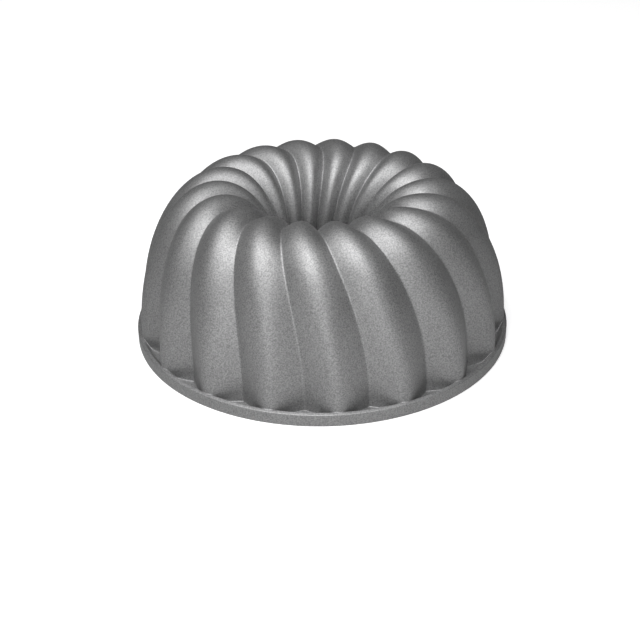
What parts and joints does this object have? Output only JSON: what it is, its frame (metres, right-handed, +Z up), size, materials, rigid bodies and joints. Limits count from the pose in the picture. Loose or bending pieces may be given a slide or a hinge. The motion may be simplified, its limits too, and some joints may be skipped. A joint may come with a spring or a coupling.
{
  "type": "bundt pan",
  "caption": "Ring cake tin with swirled flutes, a flat flange with a raised bead and a hollow centre tube, standing mouth down on its rim.",
  "frame": {"origin": "centre of the mouth, on the plane that the rim rests on", "axes": "+Z up along the tin's axis, from the mouth to the crown; the tin stands mouth down. +X and +Y are square to it and mark no feature"},
  "size_m": [0.25, 0.25, 0.1052],
  "materials": {
    "coated_aluminium": "cast aluminium under a baked-on mid-grey metallic release coating, satin with a fine sandy grain"
  },
  "bodies": {
    "root": {"rim_bead": "coated_aluminium", "flange": "coated_aluminium", "fluted_wall": "coated_aluminium", "crown": "coated_aluminium", "centre_tube": "coated_aluminium", "tube_collar": "coated_aluminium"}
  },
  "joints": []
}
